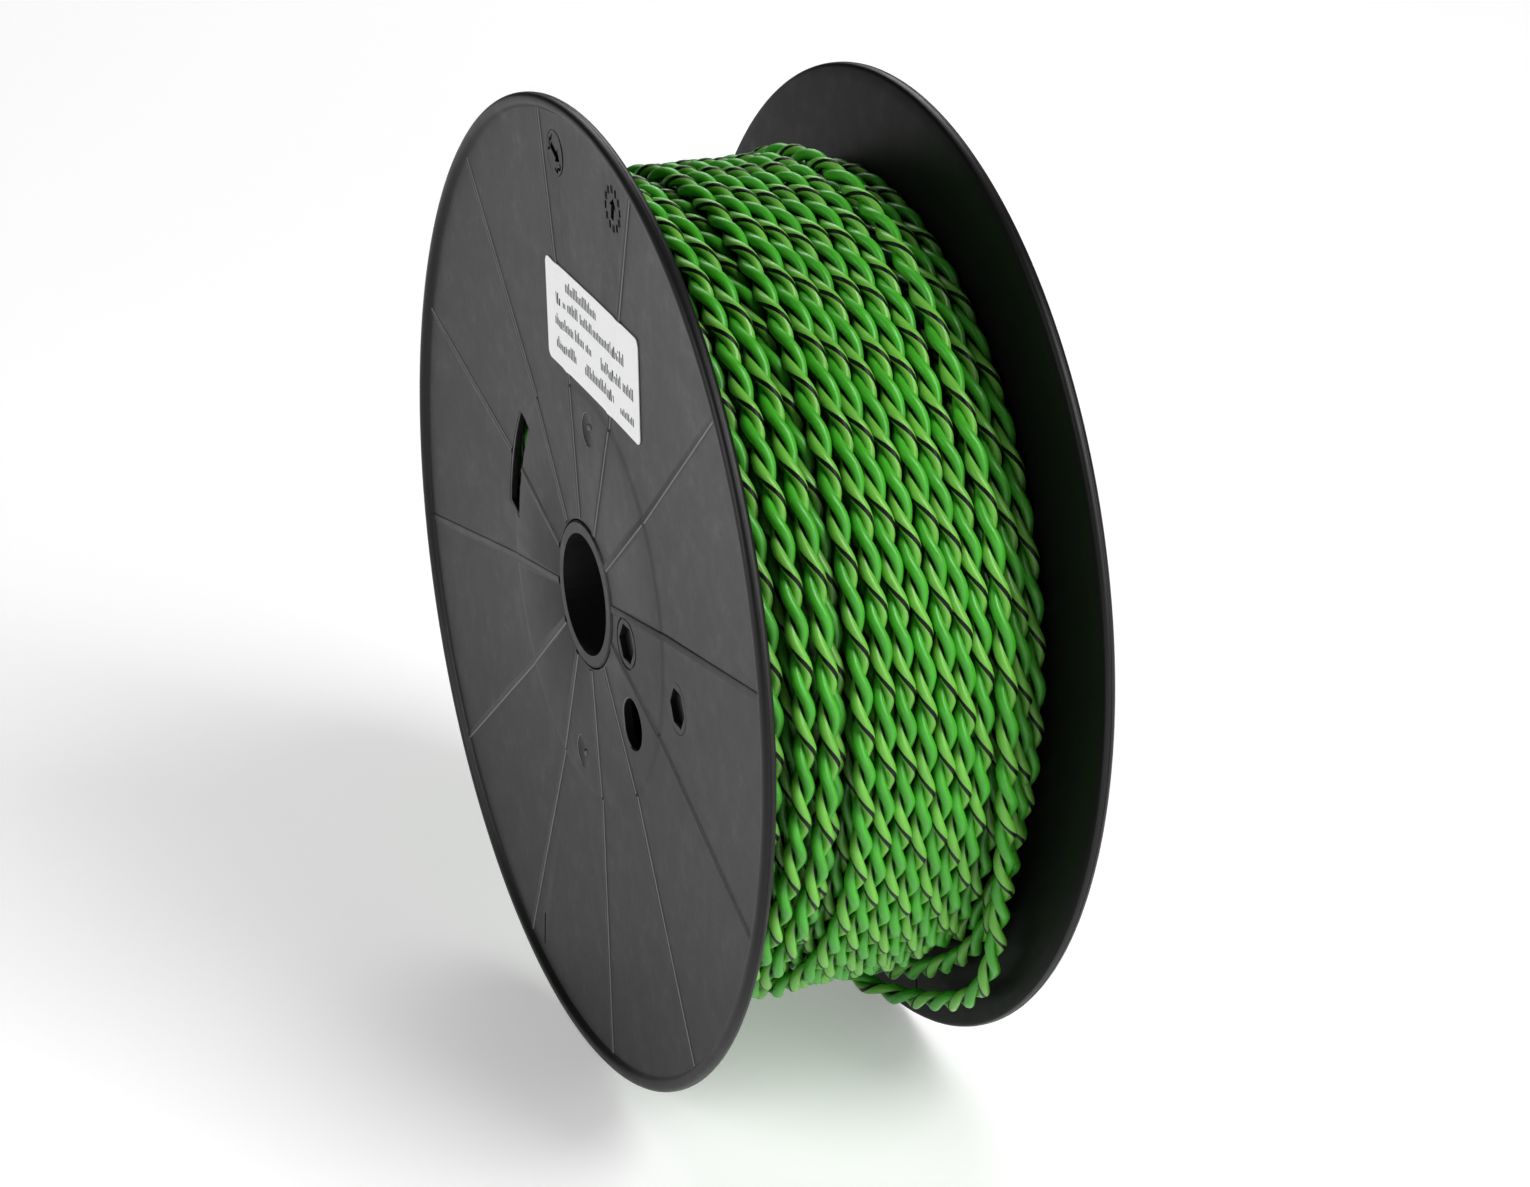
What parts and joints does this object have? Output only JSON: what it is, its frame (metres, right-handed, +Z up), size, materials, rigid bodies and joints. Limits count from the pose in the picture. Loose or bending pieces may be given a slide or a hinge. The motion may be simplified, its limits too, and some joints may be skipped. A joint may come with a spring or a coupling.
{
  "type": "cable reel",
  "caption": "Moulded black plastic reel with two dished, ribbed flanges and a hollow barrel, wound with green twisted two-core wire, one wire striped black.",
  "frame": {"origin": "on the spindle bore's axis, halfway between the two flanges", "axes": "+X along the reel's axis from the labelled flange to the far flange, +Z up as the reel stands on its rims"},
  "size_m": [0.0864, 0.2498, 0.2498],
  "materials": {
    "flange_black": "fine satin moulded plastic with faint flow marks",
    "inner_black": "satin moulded plastic",
    "label_white": "smooth white paper label",
    "wire_green": "semi-gloss PVC insulation",
    "wire_green_black": "semi-gloss PVC insulation with a printed black stripe"
  },
  "bodies": {
    "root": {"flange_label_side": "flange_black", "flange_far_side": "flange_black", "barrel": "flange_black", "hub_tube_label_side": "inner_black", "hub_tube_far_side": "inner_black", "barrel_web_1": "inner_black", "barrel_web_2": "inner_black", "barrel_web_3": "inner_black", "barrel_web_4": "inner_black", "barrel_web_5": "inner_black", "barrel_web_6": "inner_black", "snap_hook_label_side_1": "inner_black", "snap_hook_label_side_2": "inner_black", "snap_hook_label_side_3": "inner_black", "snap_hook_label_side_4": "inner_black", "snap_hook_far_side_1": "inner_black", "snap_hook_far_side_2": "inner_black", "snap_hook_far_side_3": "inner_black", "snap_hook_far_side_4": "inner_black", "label": "label_white", "cable_full_layers": "wire_green", "cable_top_turns_near": "wire_green", "cable_top_turns_middle": "wire_green", "cable_top_turns_far": "wire_green", "cable_last_turn": "wire_green_black"}
  },
  "joints": []
}
